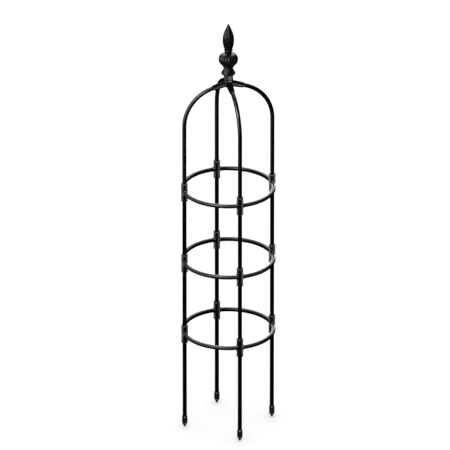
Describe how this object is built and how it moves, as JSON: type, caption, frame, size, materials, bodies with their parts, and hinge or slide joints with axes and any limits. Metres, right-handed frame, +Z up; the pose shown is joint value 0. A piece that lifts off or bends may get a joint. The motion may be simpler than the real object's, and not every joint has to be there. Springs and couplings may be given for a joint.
{
  "type": "garden obelisk",
  "caption": "Tall round garden obelisk of tube legs that arch together under a turned finial, tied by ring hoops, on ground spikes.",
  "frame": {"origin": "on the ground under the finial, in the plane of the four spike tips, at the middle of the cage", "axes": "+Z up along the obelisk's axis, +X towards the right leg, -Y towards the front leg"},
  "size_m": [0.415, 0.415, 1.8612],
  "materials": {
    "coated_tube": "semi-gloss black powder coat on steel tube",
    "connector_plastic": "satin black moulded plastic",
    "hub_plastic": "polished dark grey moulded plastic",
    "finial_plastic": "satin black-brown moulded plastic with ribs",
    "spike_plastic": "satin black moulded plastic, scuffed at the point",
    "zinc_steel": "bright zinc plate",
    "insert_brass": "machined brass"
  },
  "bodies": {
    "root": {"finial": "finial_plastic", "finial_insert": "insert_brass", "finial_screw": "zinc_steel", "finial_washer": "zinc_steel", "top_hub": "hub_plastic", "right_arch_tube": "coated_tube", "back_arch_tube": "coated_tube", "left_arch_tube": "coated_tube", "front_arch_tube": "coated_tube", "right_lower_leg_tube": "coated_tube", "back_lower_leg_tube": "coated_tube", "left_lower_leg_tube": "coated_tube", "front_lower_leg_tube": "coated_tube", "right_middle_leg_tube": "coated_tube", "back_middle_leg_tube": "coated_tube", "left_middle_leg_tube": "coated_tube", "front_middle_leg_tube": "coated_tube", "right_upper_leg_tube": "coated_tube", "back_upper_leg_tube": "coated_tube", "left_upper_leg_tube": "coated_tube", "front_upper_leg_tube": "coated_tube", "right_bottom_connector": "connector_plastic", "back_bottom_connector": "connector_plastic", "left_bottom_connector": "connector_plastic", "front_bottom_connector": "connector_plastic", "right_middle_connector": "connector_plastic", "back_middle_connector": "connector_plastic", "left_middle_connector": "connector_plastic", "front_middle_connector": "connector_plastic", "right_top_connector": "connector_plastic", "back_top_connector": "connector_plastic", "left_top_connector": "connector_plastic", "front_top_connector": "connector_plastic", "bottom_ring_back_right_rod": "coated_tube", "bottom_ring_back_left_rod": "coated_tube", "bottom_ring_front_left_rod": "coated_tube", "bottom_ring_front_right_rod": "coated_tube", "middle_ring_back_right_rod": "coated_tube", "middle_ring_back_left_rod": "coated_tube", "middle_ring_front_left_rod": "coated_tube", "middle_ring_front_right_rod": "coated_tube", "top_ring_back_right_rod": "coated_tube", "top_ring_back_left_rod": "coated_tube", "top_ring_front_left_rod": "coated_tube", "top_ring_front_right_rod": "coated_tube", "right_spike_cap": "spike_plastic", "back_spike_cap": "spike_plastic", "left_spike_cap": "spike_plastic", "front_spike_cap": "spike_plastic"}
  },
  "joints": []
}
